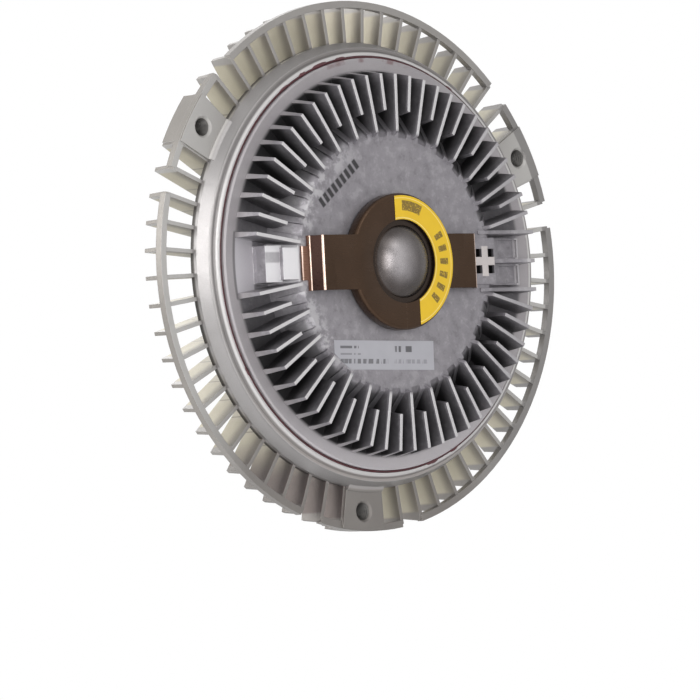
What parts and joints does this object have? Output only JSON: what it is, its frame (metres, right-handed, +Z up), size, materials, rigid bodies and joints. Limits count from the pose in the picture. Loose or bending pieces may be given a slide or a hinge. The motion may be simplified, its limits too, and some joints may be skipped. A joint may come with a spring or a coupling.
{
  "type": "viscous fan clutch",
  "caption": "Temperature-controlled viscous fan clutch: finned cast cover with bimetal strip and domed cap, housing with a bladed fan ring and bolt lugs, and a rear shaft flange.",
  "frame": {"origin": "on the axis, at the rear mounting face of the input shaft's flange, in the mouth of its pilot bore", "axes": "+Y along the axis towards the engine, so the finned front faces -Y; +Z up, with one fan lug at the bottom"},
  "size_m": [0.205, 0.0745, 0.205],
  "materials": {
    "housing_casting": "die-cast, slightly stained",
    "cover_casting": "die-cast, blasted",
    "sealant": "dark red bead",
    "bimetal": "brown heat-tinted strip",
    "dome_steel": "pressed, satin",
    "bright_steel": "turned",
    "yellow_label": "printed film",
    "silver_label": "silver film",
    "bush_brass": "turned",
    "black_rubber": "moulded",
    "plate_steel": "stamped sheet",
    "wiper_plastic": "moulded",
    "shaft_steel": "turned",
    "rotor_aluminium": "turned",
    "bearing_steel": "ground",
    "cage_brass": "pressed",
    "spring_steel": "phosphated"
  },
  "bodies": {
    "input_shaft": {"input_shaft": "shaft_steel", "rotor": "rotor_aluminium", "rotor_nut": "bright_steel", "bearing_inner_race": "bearing_steel"},
    "bearing_cage": {"bearing_cage": "cage_brass", "bearing_balls": "bearing_steel"},
    "housing": {"rear_housing": "housing_casting", "front_cover": "cover_casting", "rim_sealant": "sealant", "bimetal_strip": "bimetal", "plain_label": "silver_label", "guide_bush": "bush_brass", "pin_seal": "black_rubber", "partition_plate": "plate_steel", "partition_rivets": "bright_steel", "valve_hinge_pin": "bright_steel", "wiper_block": "wiper_plastic", "bearing_outer_race": "bearing_steel", "bearing_front_seal": "black_rubber", "bearing_rear_seal": "black_rubber", "bearing_clip": "spring_steel"},
    "control_pin": {"control_pin": "bright_steel", "domed_cap": "dome_steel", "round_label": "yellow_label"},
    "valve_lever": {"valve_lever": "plate_steel"}
  },
  "joints": [
    {"name": "housing_spin", "type": "hinge", "parent": "input_shaft", "child": "housing", "pos_m": [0, 0, 0], "axis": [0, 1, 0], "continuous": true},
    {"name": "cage_spin", "type": "hinge", "parent": "input_shaft", "child": "bearing_cage", "pos_m": [0, 0, 0], "axis": [0, 1, 0], "continuous": true},
    {"name": "control_pin_slide", "type": "slide", "parent": "housing", "child": "control_pin", "axis": [0, -1, 0], "range_m": [0, 0.0012], "deforming": ["bimetal_strip"]},
    {"name": "valve_lift", "type": "hinge", "parent": "housing", "child": "valve_lever", "pos_m": [-0.014, -0.0542, 0], "axis": [0, 0, -1], "range_deg": [0, 5]}
  ],
  "couplings": [
    {"joint": "cage_spin", "follows": "housing_spin", "ratio": 0.6179},
    {"joint": "valve_lift", "follows": "control_pin_slide", "rad_per_m": 71.429}
  ]
}
